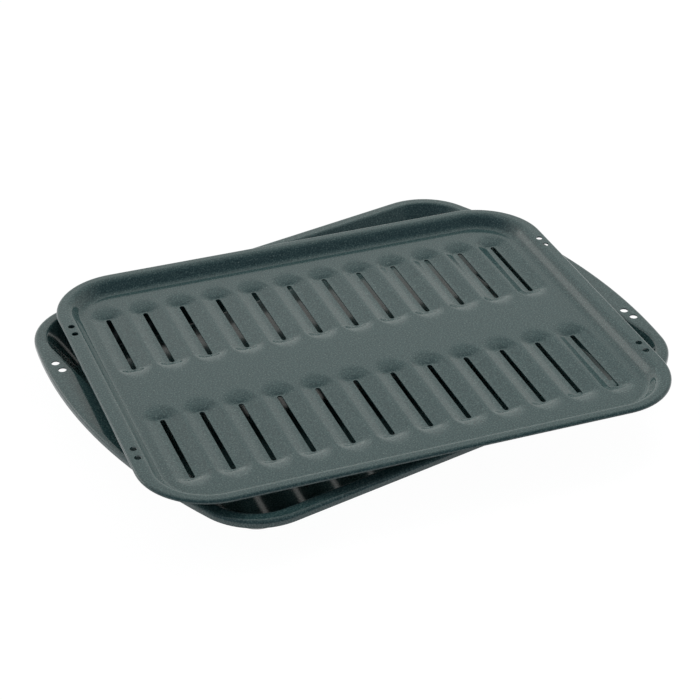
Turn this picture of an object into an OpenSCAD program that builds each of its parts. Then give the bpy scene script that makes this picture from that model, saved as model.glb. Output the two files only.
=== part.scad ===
// Broiler pan: a pressed drip pan with a slotted grill insert laid crosswise on its rim.
// Millimetres, +Z up, origin under the middle of the drip pan. Each piece is one enamelled steel sheet.

/* [Sheet] */

// Thickness of the enamelled steel sheet
sheet = 1; // [0.8:0.1:1.2]

/* [Drip pan] */

// Overall length across the bowed ends
pan_length = 425.6; // [410:0.2:440]
// Overall width across the long rims
pan_width = 318.8; // [306:0.2:330]
// Height from the underside of the floor to the top of the rim
pan_height = 30; // [26:1:36]
// Radius of the outer corners
pan_corner_r = 47.4; // [42:0.2:52]
// Length of the mouth, measured where the sheet starts to bend down
pan_mouth_length = 379; // [370:1:383]
// Width of the mouth, measured where the sheet starts to bend down
pan_mouth_width = 302; // [292:1:304]
// Corner radius of the mouth
pan_mouth_r = 39; // [36:1:44]
// Radius of the bend from the rim into the wall
pan_rim_bend_r = 3; // [2:0.5:6]
// Radius of the bend from the wall into the floor
pan_floor_bend_r = 5; // [4:1:12]
// Radius of the turned-down outer edge
pan_edge_r = 3; // [2:0.5:4]
// Height of the turned-down edge below the top of the rim
pan_edge_drop = 5.4; // [4.2:0.2:6.6]

/* [Grill insert] */

// Overall length
grill_length = 391.2; // [389:0.2:400]
// Overall width
grill_width = 310.4; // [305:0.2:316]
// Radius of the outer corners
grill_corner_r = 52; // [48:1:56]
// Length of the tray's mouth, measured where the sheet starts to bend down
grill_mouth_length = 376; // [370:0.4:377.2]
// Width of the tray's mouth, measured where the sheet starts to bend down
grill_mouth_width = 299.2; // [296:0.4:302.4]
// Corner radius of the tray's mouth
grill_mouth_r = 43.5; // [40:0.5:46]
// Depth from the top of the rim to the top of the plate
tray_depth = 9; // [8:0.5:12]
// Radius of the bend from the rim into the tray's wall
tray_top_bend_r = 6.5; // [3:0.5:7]
// Radius of the bend from the tray's wall into the plate
tray_low_bend_r = 6; // [3:0.5:7]
// Radius of the turned-down outer edge
grill_edge_r = 2.2; // [1.6:0.1:3]
// Height of the turned-down edge below the top of the rim
grill_edge_drop = 2.5; // [2.3:0.1:5]
// Turn of the insert on the pan, clockwise from above
grill_turn = 13.2; // [10:0.2:16]
// Shift of the insert's middle along the pan
grill_shift_x = -7.3; // [-10:0.1:-5]
// Shift of the insert's middle across the pan
grill_shift_y = -18.8; // [-22:0.1:-16]

/* [Troughs and slots] */

// Slots in each of the two rows
slots_per_row = 12; // [8:1:12]
// Distance from one slot to the next
slot_pitch = 28.6; // [28:0.1:29]
// Width of each slot
slot_width = 3.8; // [3:0.1:5]
// Length of each slot between the centres of its round ends
slot_length = 70; // [62:1:72]
// Distance between the two rows, end centre to end centre
row_gap = 73; // [70:1:78]
// Depth of each pressed trough below the plate
trough_depth = 3; // [2.2:0.1:3.2]
// Width of the flat ridge between two troughs
ridge_width = 0.7; // [0.6:0.1:2]
// Radius of the bend from the plate into a trough's slope
trough_top_r = 5; // [3:0.5:6]
// Radius of the bend from a trough's slope into its flat bottom
trough_low_r = 13; // [8:1:14]

/* [Holes] */

// Diameter of the hanging holes in the insert's end rims
grill_hole_d = 5; // [4:0.1:5.2]
// Diameter of the hanging holes in the pan's end rims
pan_hole_d = 6; // [4.5:0.1:6.4]
// Distance between the two holes of a pair
hole_spacing = 10.9; // [9:0.1:12]
// Distance of the insert's pairs from its long centre line
grill_hole_y = 83.8; // [76:0.2:92]
// Distance of the insert's holes from its short centre line
grill_hole_x = 189.2; // [189:0.1:190]
// Distance of the pan's pairs from its long centre line
pan_hole_y = 86.8; // [78:0.2:95]
// Distance of the pan's holes from its short centre line
pan_hole_x = 195; // [193.5:0.1:198]

/* [Hidden] */

$fn = 96;
t = sheet;

// Sine and cosine of three slopes: the walls go down 4 for each 3 inwards, the troughs 44 for each 117,
// and the pan's ends bow out 7 for each 24 at the corners. All three give short decimal coordinates,
// so neighbouring surfaces meet exactly.
wall = [0.8, 0.6];
dish = [0.352, 0.936];
bow = [0.28, 0.96];

// The pan's corner circles touch the bow from inside, so the outline has no kink.
pan_cy = pan_width / 2 - pan_corner_r;
pan_bow_r = pan_corner_r + pan_cy / bow[0];
bow_cx = pan_length / 2 - pan_bow_r;
pan_cx = bow_cx + (pan_bow_r - pan_corner_r) * bow[1];

// Length of the straight part of a bend-slope-bend section, and the run of the whole section
function slope_len(slope, drop, r1, r2) = (drop - (r1 + r2) * (1 - slope[1])) / slope[0];
function slope_run(slope, drop, r1, r2) = (r1 + r2) * slope[0] + slope_len(slope, drop, r1, r2) * slope[1];
pan_run = slope_run(wall, pan_height - t, pan_rim_bend_r, pan_floor_bend_r);
tray_run = slope_run(wall, tray_depth, tray_top_bend_r, tray_low_bend_r);
trough_r = (slot_pitch - ridge_width) / 2;
trough_floor = trough_r - slope_run(dish, trough_depth, trough_top_r, trough_low_r);
grill_z = pan_height + t + trough_depth + tray_depth;
// Neighbouring parts of one sheet run into each other by this much
lap = 0.4;

// Part of a ring between the directions d0 and d1
module arc_band(ri, ro, d0, d1) {
  intersection() {
    difference() {
      circle(r = ro);
      circle(r = ri);
    }
    polygon([[0, 0], 4 * ro * d0, 4 * ro * (d0 + d1), 4 * ro * d1]);
  }
}

// Section of the sheet going down inwards: its top surface starts at the origin
module slope_section(slope, drop, r1, r2) {
  len = slope_len(slope, drop, r1, r2);
  run = slope_run(slope, drop, r1, r2);
  n = [-slope[0], slope[1]];
  p1 = [-r1 * slope[0], -r1 * (1 - slope[1])];
  p2 = p1 - len * [slope[1], slope[0]];
  translate([0, -t]) square([lap, t]);
  translate([0, -r1]) arc_band(r1 - t, r1, [0, 1], n);
  polygon([p1, p2, p2 - t * n, p1 - t * n]);
  translate([-run, -drop + r2]) arc_band(r2, r2 + t, [0, -1], -n);
  translate([-run - lap, -drop - t]) square([lap, t]);
}

// Section of the turned-down outer edge: its outermost line is x = 0
module edge_section(r, drop) {
  translate([-r - lap, -t]) square([lap, t]);
  translate([-r, -r]) arc_band(r - t, r, [1, 0], [0, 1]);
  translate([-t, -drop]) square([t, drop - r]);
}

// Sweeps a section round a rounded rectangle of half sizes hx, hy
module rounded_sweep(hx, hy, r) {
  for (q = [0 : 3])
    translate([(q == 0 || q == 3 ? 1 : -1) * (hx - r), (q < 2 ? 1 : -1) * (hy - r), 0])
      rotate([0, 0, 90 * q]) rotate_extrude(angle = 90) translate([r, 0]) children();
  for (a = [0, 180])
    rotate([0, 0, a]) translate([hx, 0, 0]) rotate([90, 0, 0])
      linear_extrude(height = 2 * (hy - r), center = true) children();
  for (a = [90, 270])
    rotate([0, 0, a]) translate([hy, 0, 0]) rotate([90, 0, 0])
      linear_extrude(height = 2 * (hx - r), center = true) children();
}

module rounded_rect(hx, hy, r) {
  square([2 * hx, 2 * (hy - r)], center = true);
  square([2 * (hx - r), 2 * hy], center = true);
  for (sx = [-1, 1], sy = [-1, 1]) translate([sx * (hx - r), sy * (hy - r)]) circle(r = r);
}

// The part of a bow's wedge that lies outside the corner circles' centres
module bow_wedge() {
  near = pan_bow_r - pan_corner_r - 10;
  far = pan_bow_r + 30;
  polygon([[near * bow[1], near * bow[0]], [far * bow[1], far * bow[0]],
           [far * bow[1], -far * bow[0]], [near * bow[1], -near * bow[0]]]);
}

// The pan's outline, moved inwards by d
module pan_outline(d) {
  r = pan_corner_r - d;
  square([2 * pan_cx, 2 * (pan_cy + r)], center = true);
  for (sx = [-1, 1], sy = [-1, 1]) translate([sx * pan_cx, sy * pan_cy]) circle(r = r);
  for (a = [0, 180]) rotate([0, 0, a]) translate([bow_cx, 0]) intersection() {
    circle(r = pan_bow_r - d);
    bow_wedge();
  }
}

module pan_edge() {
  for (a = [0, 180]) rotate([0, 0, a]) translate([bow_cx, 0, 0]) intersection() {
    rotate_extrude($fn = 384) translate([pan_bow_r, 0]) edge_section(pan_edge_r, pan_edge_drop);
    translate([0, 0, -20]) linear_extrude(height = 40) bow_wedge();
  }
  for (m = [0, 1], a = [0, 1]) mirror([m, 0, 0]) mirror([0, a, 0]) translate([pan_cx, pan_cy, 0])
    intersection() {
      rotate_extrude() translate([pan_corner_r, 0]) edge_section(pan_edge_r, pan_edge_drop);
      translate([0, 0, -20]) linear_extrude(height = 40)
        polygon([[0, 0], 100 * [bow[1], bow[0]], [96, 96], [0, 96]]);
    }
  for (a = [90, 270]) rotate([0, 0, a]) translate([pan_width / 2, 0, 0]) rotate([90, 0, 0])
    linear_extrude(height = 2 * pan_cx, center = true) edge_section(pan_edge_r, pan_edge_drop);
}

module hole_pairs(x, y, d) {
  for (sx = [-1, 1], sy = [-1, 1], side = [-0.5, 0.5])
    translate([sx * x, sy * y + side * hole_spacing, -5]) cylinder(h = 10, d = d);
}

module drip_pan() {
  hx = pan_mouth_length / 2;
  hy = pan_mouth_width / 2;
  color([0.25, 0.3, 0.3]) translate([0, 0, pan_height]) difference() {
    union() {
      pan_edge();
      translate([0, 0, -t]) linear_extrude(height = t) difference() {
        pan_outline(pan_edge_r);
        rounded_rect(hx, hy, pan_mouth_r);
      }
      rounded_sweep(hx, hy, pan_mouth_r)
        slope_section(wall, pan_height - t, pan_rim_bend_r, pan_floor_bend_r);
      translate([0, 0, -pan_height]) linear_extrude(height = t)
        rounded_rect(hx - pan_run, hy - pan_run, pan_mouth_r - pan_run);
    }
    hole_pairs(pan_hole_x, pan_hole_y, pan_hole_d);
  }
}

// Half of a trough's section: the flat bottom and one side, from x = 0 outwards
module trough_half() {
  translate([0, -trough_depth - t]) square([trough_floor, t]);
  translate([trough_r, 0]) slope_section(dish, trough_depth, trough_top_r, trough_low_r);
}

module stadium(d, len) {
  square([d, len], center = true);
  for (e = [-1, 1]) translate([0, e * len / 2]) circle(d = d);
}

module trough() {
  difference() {
    union() {
      rotate([90, 0, 0]) linear_extrude(height = slot_length, center = true) {
        trough_half();
        mirror([1, 0]) trough_half();
      }
      for (e = [0, 180]) rotate([0, 0, e]) translate([0, slot_length / 2, 0])
        rotate_extrude(angle = 180) trough_half();
    }
    translate([0, 0, -trough_depth - 2 * t]) linear_extrude(height = 3 * t) stadium(slot_width, slot_length);
  }
}

module each_slot() {
  for (s = [-1, 1], i = [0 : slots_per_row - 1])
    translate([(i - (slots_per_row - 1) / 2) * slot_pitch, s * (row_gap + slot_length) / 2, 0]) children();
}

// The plate with its troughs: its top surface is z = 0
module plate() {
  translate([0, 0, -t]) linear_extrude(height = t) difference() {
    rounded_rect(grill_mouth_length / 2 - tray_run, grill_mouth_width / 2 - tray_run,
                 grill_mouth_r - tray_run);
    each_slot() stadium(2 * trough_r, slot_length);
  }
  each_slot() trough();
}

module grill_insert() {
  hx = grill_mouth_length / 2;
  hy = grill_mouth_width / 2;
  color([0.37, 0.42, 0.41])
    translate([grill_shift_x, grill_shift_y, grill_z]) rotate([0, 0, -grill_turn]) difference() {
      union() {
        rounded_sweep(grill_length / 2, grill_width / 2, grill_corner_r)
          edge_section(grill_edge_r, grill_edge_drop);
        translate([0, 0, -t]) linear_extrude(height = t) difference() {
          rounded_rect(grill_length / 2 - grill_edge_r, grill_width / 2 - grill_edge_r,
                       grill_corner_r - grill_edge_r);
          rounded_rect(hx, hy, grill_mouth_r);
        }
        rounded_sweep(hx, hy, grill_mouth_r)
          slope_section(wall, tray_depth, tray_top_bend_r, tray_low_bend_r);
        translate([0, 0, -tray_depth]) plate();
      }
      hole_pairs(grill_hole_x, grill_hole_y, grill_hole_d);
    }
}

drip_pan();
grill_insert();
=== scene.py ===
from math import sin, cos, tan, asin, hypot, pi, radians, degrees

import bpy
import bmesh
from mathutils import Matrix, Vector


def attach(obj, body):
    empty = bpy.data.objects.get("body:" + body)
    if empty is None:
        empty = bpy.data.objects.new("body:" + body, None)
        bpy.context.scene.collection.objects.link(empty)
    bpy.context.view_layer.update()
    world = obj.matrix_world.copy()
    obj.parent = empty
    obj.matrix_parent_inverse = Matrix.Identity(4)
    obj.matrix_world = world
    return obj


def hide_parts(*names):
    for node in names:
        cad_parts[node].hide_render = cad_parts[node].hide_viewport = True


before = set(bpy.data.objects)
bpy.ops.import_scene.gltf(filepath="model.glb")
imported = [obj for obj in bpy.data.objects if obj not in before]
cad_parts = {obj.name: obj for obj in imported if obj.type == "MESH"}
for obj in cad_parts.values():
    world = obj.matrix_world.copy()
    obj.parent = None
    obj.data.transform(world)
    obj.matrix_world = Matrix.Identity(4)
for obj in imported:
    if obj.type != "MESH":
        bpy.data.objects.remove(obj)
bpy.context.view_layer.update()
mm = 0.001

# the sheet both pieces are pressed from: its sizes, and those of the pieces below, are in millimetres
sheet = {"thickness": 1.0, "wallSlope": degrees(asin(0.8)),
         "apron": 0.6,                                               # flat strip kept beside a bend
         "softEdge": 0.3, "softSegments": 3, "softFrom": 50,         # rounding of the cut edges
         "bendRings": 8, "wallRings": 3,
         "cornerSteps": 22, "fewestSteps": 4, "wideRadius": 60.0,    # an arc past this radius gets more steps
         "rodLength": 12.0, "rodSides": 28,
         "outlineWeld": 0.02, "weld": 0.0001}


# Outlines: each arc is its centre, its radius, the angle where it starts and its sweep, in degrees
def drawOutline(bm, arcs, height, steps=None):
    before = set(bm.verts)
    ends = []
    for centre, radius, start, sweep in arcs:
        middle = Vector((centre[0], centre[1], height))
        first = bm.verts.new(middle + radius * Vector((cos(radians(start)), sin(radians(start)), 0)))
        wide = max(1, (radius / sheet["wideRadius"]) ** 0.5)
        count = steps or max(sheet["fewestSteps"], round(sheet["cornerSteps"] * sweep / 90 * wide))
        arc = bmesh.ops.spin(bm, geom=[first], cent=middle, axis=(0, 0, 1), angle=radians(sweep), steps=count)
        last = [v for v in arc["geom_last"] if isinstance(v, bmesh.types.BMVert)][0]
        ends.append((first, last))
    for (_, last), (nextFirst, _) in zip(ends, ends[1:] + ends[:1]):
        bm.edges.new((last, nextFirst))
    drawn = [v for v in bm.verts if v not in before]
    bmesh.ops.remove_doubles(bm, verts=drawn, dist=sheet["outlineWeld"])
    loop = {e for v in bm.verts if v not in before for e in v.link_edges}
    face = bmesh.ops.contextual_create(bm, geom=list(loop))["faces"][0]
    if face.normal.z < 0:
        face.normal_flip()
    return face


def roundedCorners(halfX, halfY, radius):
    x, y = halfX - radius, halfY - radius
    return [((x, y), radius, 0, 90), ((-x, y), radius, 90, 90),
            ((-x, -y), radius, 180, 90), ((x, -y), radius, 270, 90)]


def stadium(x, y, radius, length):
    return [((x, y + length / 2), radius, 0, 180), ((x, y - length / 2), radius, 180, 180)]


# Sections: steps of (inward, rise) for the sheet's upper side. A slope is 0 where flat and 90 where it falls.
def bendSteps(radius, fromSlope, toSlope):
    turn = radians(toSlope - fromSlope) / sheet["bendRings"]
    chord = 2 * radius * sin(abs(turn) / 2)
    slopes = [radians(fromSlope) + turn * (i + 0.5) for i in range(sheet["bendRings"])]
    return [(chord * cos(s), -chord * sin(s)) for s in slopes]


# up the turned-down edge and over its bend onto the rim
def edgeSteps(size):
    upright = size["edgeDrop"] - size["edgeRound"]
    return [(0, upright)] + bendSteps(size["edgeRound"], -90, 0) + [(sheet["apron"], 0)]


# how far inward a wall reaches from the start of its top bend to the end of its low one
def wallRun(drop, bends, slope):
    return bends * sin(radians(slope)) + (drop - bends * (1 - cos(radians(slope)))) / tan(radians(slope))


def wallSteps(drop, topBend, lowBend, slope, apron):
    fall = (drop - (topBend + lowBend) * (1 - cos(radians(slope)))) / sheet["wallRings"]
    straight = [(fall / tan(radians(slope)), -fall)] * sheet["wallRings"]
    flat = [(apron, 0)]
    return flat + bendSteps(topBend, 0, slope) + straight + bendSteps(lowBend, slope, 0) + flat


# presses rings into a flat face, one for each step, and leaves the face as the bottom
def press(bm, face, steps):
    for inward, rise in steps:
        if inward == 0:
            face = bmesh.ops.extrude_discrete_faces(bm, faces=[face])["faces"][0]
            bmesh.ops.translate(bm, verts=face.verts, vec=(0, 0, rise))
        else:
            bmesh.ops.inset_region(bm, faces=[face], thickness=inward, depth=rise, use_even_offset=True,
                                   use_boundary=True)
    return face


# presses a face that stands alone, and gives back its outline as well as the bottom
def pressAlone(bm, face, steps):
    others = set(bm.edges) - set(face.edges)
    bottom = press(bm, face, steps)
    return [e for e in bm.edges if e.is_boundary and e not in others], bottom


# a mouth's outline, drawn a little out on the flat rim
def drawMouth(bm, size, height):
    out = sheet["apron"]
    corners = roundedCorners(size["mouthLength"] / 2 + out, size["mouthWidth"] / 2 + out,
                             size["mouthRadius"] + out)
    return drawOutline(bm, corners, height)


def openFace(bm, face):
    loop = list(face.edges)
    bmesh.ops.delete(bm, geom=[face], context="FACES_ONLY")
    return loop


# fills the flat sheet between loops of edges
def fillFlat(bm, edges):
    bmesh.ops.triangle_fill(bm, use_beauty=True, edges=edges, normal=(0, 0, 1))


# rods through all the holes of a piece's end rims
def makeRods(size, height):
    bm = bmesh.new()
    for sideX in (-1, 1):
        for sideY in (-1, 1):
            for side in (-0.5, 0.5):
                x, y = sideX * size["holeX"], sideY * size["holeY"] + side * size["holeSpacing"]
                bmesh.ops.create_cone(bm, cap_ends=True, segments=sheet["rodSides"],
                                      radius1=size["holeRadius"], radius2=size["holeRadius"],
                                      depth=sheet["rodLength"], matrix=Matrix.Translation((x, y, height)))
    return bm


def linkMesh(bm, name):
    bmesh.ops.transform(bm, matrix=Matrix.Scale(mm, 4), verts=bm.verts)
    mesh = bpy.data.meshes.new(name)
    bm.to_mesh(mesh)
    bm.free()
    made = bpy.data.objects.new(name, mesh)
    bpy.context.scene.collection.objects.link(made)
    return made


# the pressed surface gets its thickness, then its holes, then soft cut edges
def makePiece(bm, rods, name, node, material):
    bmesh.ops.remove_doubles(bm, verts=bm.verts, dist=sheet["weld"])
    for face in bm.faces:
        face.smooth = True
    piece = linkMesh(bm, name)
    piece.data.materials.append(material)
    thick = piece.modifiers.new("sheet", "SOLIDIFY")
    thick.thickness = sheet["thickness"] * mm
    thick.offset = -1
    thick.use_even_offset = True
    thick.use_quality_normals = True
    drill = linkMesh(rods, "rods")
    holes = piece.modifiers.new("holes", "BOOLEAN")
    holes.object = drill
    holes.operation = "DIFFERENCE"
    holes.solver = "EXACT"
    solid = bpy.data.meshes.new_from_object(piece.evaluated_get(bpy.context.evaluated_depsgraph_get()))
    piece.modifiers.clear()
    piece.data = solid
    solid.name = name
    bpy.data.objects.remove(drill)
    soft = piece.modifiers.new("soft edges", "BEVEL")
    soft.width = sheet["softEdge"] * mm
    soft.segments = sheet["softSegments"]
    soft.limit_method = "ANGLE"
    soft.angle_limit = radians(sheet["softFrom"])
    soft.harden_normals = True
    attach(piece, "root")
    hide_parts(node)
    print(name, "made with", len(solid.polygons), "faces")


# the drip pan stands on its floor round the origin, and bowSine sets how strongly its ends bow out
pan = {"length": 425.6, "width": 318.8, "height": 30.0, "cornerRadius": 47.4, "bowSine": 0.28,
       "mouthLength": 379.0, "mouthWidth": 302.0, "mouthRadius": 39.0, "rimBend": 3.0, "floorBend": 5.0,
       "edgeRound": 3.0, "edgeDrop": 5.4,
       "holeRadius": 3.0, "holeX": 195.0, "holeY": 86.8, "holeSpacing": 10.9}


# the corner circles touch the bowed ends from inside
def bowedCorners():
    x, y, corner = pan["length"] / 2, pan["width"] / 2 - pan["cornerRadius"], pan["cornerRadius"]
    bow = corner + y / pan["bowSine"]
    bowAngle = degrees(asin(pan["bowSine"]))
    bowX = x - bow
    cornerX = bowX + y / pan["bowSine"] * cos(radians(bowAngle))
    return [((bowX, 0), bow, -bowAngle, 2 * bowAngle), ((cornerX, y), corner, bowAngle, 90 - bowAngle),
            ((-cornerX, y), corner, 90, 90 - bowAngle), ((-bowX, 0), bow, 180 - bowAngle, 2 * bowAngle),
            ((-cornerX, -y), corner, 180 + bowAngle, 90 - bowAngle),
            ((cornerX, -y), corner, 270, 90 - bowAngle)]


def makePan(material):
    bm = bmesh.new()
    top = pan["height"]
    rim = drawOutline(bm, bowedCorners(), top - pan["edgeDrop"])
    outside = openFace(bm, press(bm, rim, edgeSteps(pan)))
    steps = wallSteps(top - sheet["thickness"], pan["rimBend"], pan["floorBend"], sheet["wallSlope"],
                      sheet["apron"])
    inside, _ = pressAlone(bm, drawMouth(bm, pan, top), steps)
    fillFlat(bm, outside + inside)
    makePiece(bm, makeRods(pan, top), "pressed_drip_pan", "drip_pan", material)


# each trough is a broad dish; past the slot's ends it rises steeply at first and then runs out gently
trough = {"perRow": 12, "pitch": 28.6, "rowGap": 73.0, "slotLength": 70.0, "slotWidth": 3.8, "ridge": 0.7,
          "depth": 3.0, "slope": degrees(asin(0.352)), "topBend": 5.0, "lowBend": 13.0, "apron": 0.3,
          "endSteps": 20, "endFrom": 0.01, "endPull": 3.0, "endReach": 6.0, "endLate": 6, "endRound": 2}


# the low rings of a trough's ends are pulled in and the top ones reach out
def shapeEnds(verts, x, y, low, radius):
    for v in verts:
        past = abs(v.co.y - y) - trough["slotLength"] / 2
        if past > trough["endFrom"]:
            away = hypot(past, v.co.x - x)
            share = min(max((away - low) / (radius - low), 0), 1)
            late = share ** trough["endLate"]
            slide = trough["endReach"] * late - trough["endPull"] * sin(pi * share) * (1 - late)
            v.co.y += (1 if v.co.y > y else -1) * slide * (past / away) ** trough["endRound"]


def makeTrough(bm, x, y, height):
    before = set(bm.verts)
    radius = (trough["pitch"] - trough["ridge"]) / 2
    low = radius - wallRun(trough["depth"], trough["topBend"] + trough["lowBend"], trough["slope"])
    outline = stadium(x, y, radius + trough["apron"], trough["slotLength"])
    face = drawOutline(bm, outline, height, trough["endSteps"])
    steps = wallSteps(trough["depth"], trough["topBend"], trough["lowBend"], trough["slope"], trough["apron"])
    steps.append((low - trough["apron"] - trough["slotWidth"] / 2, 0))
    outside, slot = pressAlone(bm, face, steps)
    openFace(bm, slot)
    shapeEnds([v for v in bm.verts if v not in before], x, y, low, radius)
    return outside


# the grill insert is pressed with its rim at zero, then turned and laid on the pan
grill = {"length": 391.2, "width": 310.4, "cornerRadius": 52.0, "rimHeight": 43.0,
         "mouthLength": 376.0, "mouthWidth": 299.2, "mouthRadius": 43.5, "trayDepth": 9.0,
         "rimBend": 6.5, "plateBend": 6.0, "edgeRound": 2.2, "edgeDrop": 2.5,
         "holeRadius": 2.5, "holeX": 189.2, "holeY": 83.8, "holeSpacing": 10.9,
         "turn": -13.2, "shiftX": -7.3, "shiftY": -18.8}


def makeGrill(material):
    bm = bmesh.new()
    corners = roundedCorners(grill["length"] / 2, grill["width"] / 2, grill["cornerRadius"])
    rim = drawOutline(bm, corners, -grill["edgeDrop"])
    outside = openFace(bm, press(bm, rim, edgeSteps(grill)))
    steps = wallSteps(grill["trayDepth"], grill["rimBend"], grill["plateBend"], sheet["wallSlope"],
                      sheet["apron"])
    inside, tray = pressAlone(bm, drawMouth(bm, grill, 0), steps)
    plate = openFace(bm, tray)
    fillFlat(bm, outside + inside)
    for side in (-1, 1):
        for i in range(trough["perRow"]):
            x = (i - (trough["perRow"] - 1) / 2) * trough["pitch"]
            y = side * (trough["rowGap"] + trough["slotLength"]) / 2
            plate += makeTrough(bm, x, y, -grill["trayDepth"])
    fillFlat(bm, plate)
    rods = makeRods(grill, 0)
    turn = Matrix.Rotation(radians(grill["turn"]), 3, "Z")
    for part in (bm, rods):
        bmesh.ops.rotate(part, verts=part.verts, cent=(0, 0, 0), matrix=turn)
        bmesh.ops.translate(part, verts=part.verts, vec=(grill["shiftX"], grill["shiftY"], grill["rimHeight"]))
    makePiece(bm, rods, "pressed_grill_insert", "grill_insert", material)


# the enamel's fine grain runs from dark over the ground colour to pale, with few bright flecks
enamel = {"dark": (0.021, 0.052, 0.054), "darkAt": 0.32, "ground": (0.04, 0.087, 0.089), "groundAt": 0.5,
          "pale": (0.105, 0.168, 0.162), "paleAt": 0.7, "fleck": (0.36, 0.42, 0.39), "fleckAt": 0.82,
          "grainSize": 0.0011, "grainDetail": 2.0, "grainRoughness": 0.6, "roughness": 0.11, "ior": 1.5}


# links a socket to another one, or sets its value
def plug(tree, socket, value):
    if isinstance(value, bpy.types.NodeSocket):
        tree.links.new(value, socket)
    else:
        socket.default_value = value


def linkNew(tree, kind, **inputs):
    node = tree.nodes.new(kind)
    for name, value in inputs.items():
        plug(tree, node.inputs[name], value)
    return node


def makeEnamel():
    material = bpy.data.materials.new("speckled enamel")
    material.use_nodes = True
    tree = material.node_tree
    shader = tree.nodes["Principled BSDF"]
    place = tree.nodes.new("ShaderNodeTexCoord").outputs["Object"]
    grain = linkNew(tree, "ShaderNodeTexNoise", Vector=place, Scale=1 / enamel["grainSize"],
                    Detail=enamel["grainDetail"], Roughness=enamel["grainRoughness"])
    mottle = linkNew(tree, "ShaderNodeValToRGB", Fac=grain.outputs["Fac"])
    stops = mottle.color_ramp.elements
    stops.remove(stops[1])
    stops[0].position = enamel["darkAt"]
    stops[0].color = (*enamel["dark"], 1)
    for shade in ("ground", "pale", "fleck"):
        stops.new(enamel[shade + "At"]).color = (*enamel[shade], 1)
    tree.links.new(mottle.outputs["Color"], shader.inputs["Base Color"])
    shader.inputs["Roughness"].default_value = enamel["roughness"]
    shader.inputs["IOR"].default_value = enamel["ior"]
    print("enamel mixed")
    return material


# Studio: a white sweep behind the pan, brighter to the left, dimmer overhead and dark in front. A range is of
# the height for overhead, and otherwise of how squarely a view faces that way, from -1 to 1.
studio = {"front": (0.2, 0.225, 0.265), "warm": (1.0, 1.0, 0.965),
          "back": (0.559, 0.829, 0.0), "backRange": (-0.4, 0.3),
          "overhead": 0.75, "overheadRange": (0.55, 1.0),
          "left": (-0.707, 0.707, 0.0), "leftRange": (-0.2, 0.9), "leftGlow": (0.75, 1.2),
          "lamp": (-0.56, 0.816, 0.141), "lampRange": (0.965, 0.98), "lampGlow": 0.9}


def combine(tree, operation, first, second):
    node = tree.nodes.new("ShaderNodeMath")
    node.operation = operation
    plug(tree, node.inputs[0], first)
    plug(tree, node.inputs[1], second)
    return node.outputs["Value"]


# takes a value from one range to another
def rangeOf(tree, value, source, result):
    node = linkNew(tree, "ShaderNodeMapRange", Value=value)
    for name, number in zip(("From Min", "From Max", "To Min", "To Max"), source + result):
        node.inputs[name].default_value = number
    return node.outputs["Result"]


def facing(tree, way, direction):
    node = linkNew(tree, "ShaderNodeVectorMath", Vector=way)
    node.operation = "DOT_PRODUCT"
    node.inputs[1].default_value = direction
    return node.outputs["Value"]


# is 1 for the named kinds of light ray and 0 for all others
def raysOf(tree, *names):
    light = tree.nodes.new("ShaderNodeLightPath")
    found = light.outputs[names[0]]
    for name in names[1:]:
        found = combine(tree, "MAXIMUM", found, light.outputs[name])
    return found


def mixShaders(tree, share, first, second):
    both = linkNew(tree, "ShaderNodeMixShader", Fac=share)
    tree.links.new(first, both.inputs[1])
    tree.links.new(second, both.inputs[2])
    return both.outputs["Shader"]


def makeRoom():
    world = bpy.data.worlds.new("studio")
    bpy.context.scene.world = world
    world.use_nodes = True
    tree = world.node_tree
    tree.nodes.clear()
    way = tree.nodes.new("ShaderNodeTexCoord").outputs["Generated"]
    height = linkNew(tree, "ShaderNodeSeparateXYZ", Vector=way).outputs["Z"]
    above = rangeOf(tree, height, studio["overheadRange"], (1.0, studio["overhead"]))
    behind = rangeOf(tree, facing(tree, way, studio["back"]), studio["backRange"], (0.0, 1.0))
    left = rangeOf(tree, facing(tree, way, studio["left"]), studio["leftRange"], studio["leftGlow"])
    lamp = rangeOf(tree, facing(tree, way, studio["lamp"]), studio["lampRange"], (0.0, studio["lampGlow"]))
    tint = linkNew(tree, "ShaderNodeValToRGB", Fac=combine(tree, "MULTIPLY", above, behind))
    tint.color_ramp.elements[0].color = (*studio["front"], 1)
    tint.color_ramp.elements[1].color = (*studio["warm"], 1)
    room = linkNew(tree, "ShaderNodeBackground", Color=tint.outputs["Color"],
                   Strength=combine(tree, "ADD", left, lamp))
    white = linkNew(tree, "ShaderNodeBackground", Color=(1, 1, 1, 1), Strength=1.0)
    seen = mixShaders(tree, raysOf(tree, "Is Camera Ray", "Is Transmission Ray"),
                      room.outputs["Background"], white.outputs["Background"])
    linkNew(tree, "ShaderNodeOutputWorld", Surface=seen)


# a soft weak lamp stands to the right of the pan and a little behind it, turned to the origin
keyLamp = {"aroundFromRight": 19, "above": 57, "distance": 2.0, "size": 0.6, "watts": 8}


def makeKey():
    lamp = bpy.data.lights.new("key", "AREA")
    lamp.energy = keyLamp["watts"]
    lamp.size = keyLamp["size"]
    around, above = radians(keyLamp["aroundFromRight"]), radians(keyLamp["above"])
    spot = keyLamp["distance"] * Vector((cos(above) * cos(around), cos(above) * sin(around), sin(above)))
    key = bpy.data.objects.new("key", lamp)
    key.location = spot
    key.rotation_euler = spot.to_track_quat("Z", "Y").to_euler()
    key.visible_glossy = False
    bpy.context.scene.collection.objects.link(key)


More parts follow.
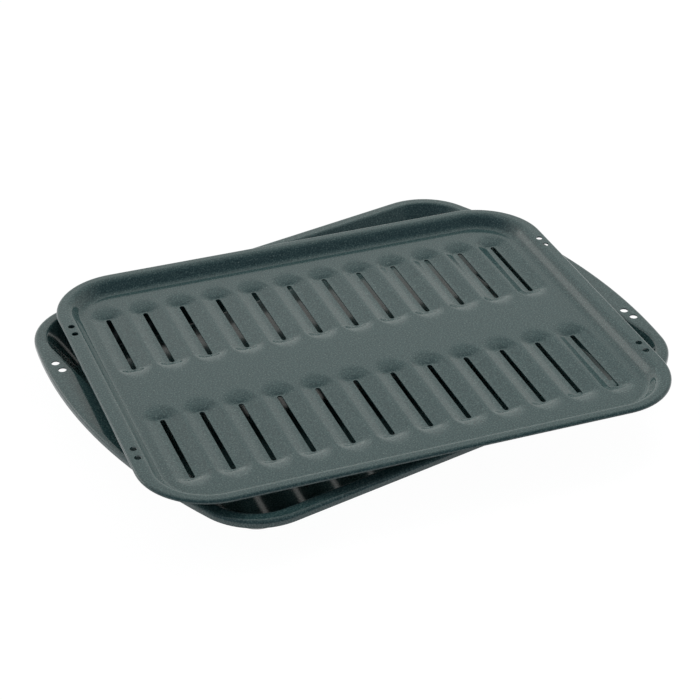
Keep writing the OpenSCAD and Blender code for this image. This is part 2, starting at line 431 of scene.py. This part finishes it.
# a matt floor that keeps a faint shadow under its white glow
whiteFloor = {"halfWidth": 4, "under": 0.2 * mm, "matt": 0.85, "white": 1.05, "glow": 0.93}


def makeFloor():
    bm = bmesh.new()
    bmesh.ops.create_grid(bm, x_segments=1, y_segments=1, size=whiteFloor["halfWidth"])
    mesh = bpy.data.meshes.new("floor")
    bm.to_mesh(mesh)
    bm.free()
    floor = bpy.data.objects.new("floor", mesh)
    floor.location.z = -whiteFloor["under"]
    bpy.context.scene.collection.objects.link(floor)
    material = bpy.data.materials.new("white floor")
    material.use_nodes = True
    tree = material.node_tree
    tree.nodes.clear()
    matt = linkNew(tree, "ShaderNodeBsdfDiffuse", Color=(*[whiteFloor["matt"]] * 3, 1))
    glow = linkNew(tree, "ShaderNodeEmission", Color=(1, 1, 1, 1), Strength=whiteFloor["white"])
    rays = raysOf(tree, "Is Camera Ray", "Is Glossy Ray", "Is Transmission Ray")
    seen = mixShaders(tree, combine(tree, "MULTIPLY", rays, whiteFloor["glow"]),
                      matt.outputs["BSDF"], glow.outputs["Emission"])
    linkNew(tree, "ShaderNodeOutputMaterial", Surface=seen)
    mesh.materials.append(material)


# where the photograph was taken from: degrees round the pan and above it, metres away
cameraView = {"leftOfFront": 34.03, "above": 32.02, "distance": 1.4806, "lens": 104.2,
              "aim": (-0.0092, -0.0138, 0.031)}


def makeCamera():
    camera = bpy.data.objects.new("camera", bpy.data.cameras.new("camera"))
    camera.data.lens = cameraView["lens"]
    around, above = radians(cameraView["leftOfFront"]), radians(cameraView["above"])
    back = Vector((-sin(around) * cos(above), -cos(around) * cos(above), sin(above)))
    camera.location = Vector(cameraView["aim"]) + cameraView["distance"] * back
    camera.rotation_euler = back.to_track_quat("Z", "Y").to_euler()
    bpy.context.scene.collection.objects.link(camera)
    bpy.context.scene.camera = camera


makeCamera()
print("camera set")
makeRoom()
makeKey()
makeFloor()
bpy.context.scene.view_settings.view_transform = "Standard"
print("studio lit")
speckled = makeEnamel()
makePan(speckled)
makeGrill(speckled)
